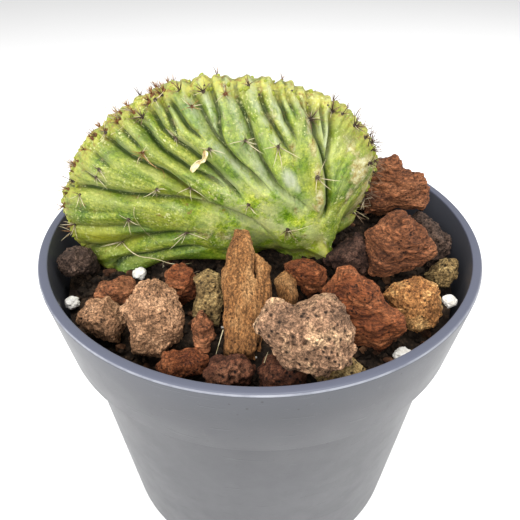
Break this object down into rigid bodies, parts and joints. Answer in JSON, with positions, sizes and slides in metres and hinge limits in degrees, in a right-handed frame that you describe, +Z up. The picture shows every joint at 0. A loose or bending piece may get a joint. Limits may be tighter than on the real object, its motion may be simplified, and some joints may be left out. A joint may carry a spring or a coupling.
{
  "type": "potted crested cactus",
  "caption": "Fan-shaped crested cactus with ribs and spines, growing in a round grey nursery pot under a dressing of loose lava stones and perlite.",
  "frame": {"origin": "centre of the pot's foot, on the surface that the pot stands on", "axes": "+Z up; the broad face of the crested stem looks along -Y, and its longer lobe reaches towards -X"},
  "size_m": [0.12, 0.12, 0.1371],
  "materials": {
    "grey_plastic": "satin",
    "potting_soil": "crumbly, matt",
    "cactus_skin": "waxy, satin",
    "lava_tan": "rough, porous",
    "lava_pink": "rough, porous",
    "lava_ochre": "rough, porous",
    "lava_bark": "rough, porous",
    "lava_rust": "rough, porous",
    "lava_red": "rough, porous",
    "lava_brown": "rough, porous",
    "lava_olive": "rough, porous",
    "lava_purple": "rough, porous",
    "lava_dark": "rough, porous",
    "perlite_white": "matt"
  },
  "bodies": {
    "root": {"cactus": "cactus_skin", "perlite_back": "perlite_white", "perlite_back_left": "perlite_white", "perlite_front_right": "perlite_white", "perlite_left": "perlite_white", "perlite_right": "perlite_white", "perlite_under_crest": "perlite_white", "pot": "grey_plastic", "soil": "potting_soil", "stone_back_inner_1": "lava_purple", "stone_back_inner_2": "lava_rust", "stone_back_inner_3": "lava_tan", "stone_back_inner_4": "lava_brown", "stone_back_outer_1": "lava_tan", "stone_back_outer_2": "lava_rust", "stone_back_outer_3": "lava_dark", "stone_back_outer_4": "lava_ochre", "stone_back_outer_5": "lava_olive", "stone_back_outer_6": "lava_rust", "stone_back_right": "lava_brown", "stone_back_small_1": "lava_red", "stone_back_small_2": "lava_tan", "stone_back_small_3": "lava_olive", "stone_back_small_4": "lava_dark", "stone_back_small_5": "lava_rust", "stone_behind_left": "lava_brown", "stone_far_left": "lava_tan", "stone_grey_back": "lava_dark", "stone_left_big": "lava_tan", "stone_low_centre": "lava_red", "stone_low_front": "lava_red", "stone_low_left": "lava_rust", "stone_low_middle": "lava_brown", "stone_low_right": "lava_olive", "stone_lumpy": "lava_olive", "stone_ochre": "lava_ochre", "stone_peaked": "lava_rust", "stone_pebble_right": "lava_olive", "stone_porous": "lava_pink", "stone_round_red": "lava_rust", "stone_shaded_left": "lava_dark", "stone_slab": "lava_bark", "stone_slab_side": "lava_bark", "stone_spiked": "lava_purple", "stone_stepped": "lava_brown", "stone_tall": "lava_brown", "stone_under_crest": "lava_rust"}
  },
  "joints": []
}
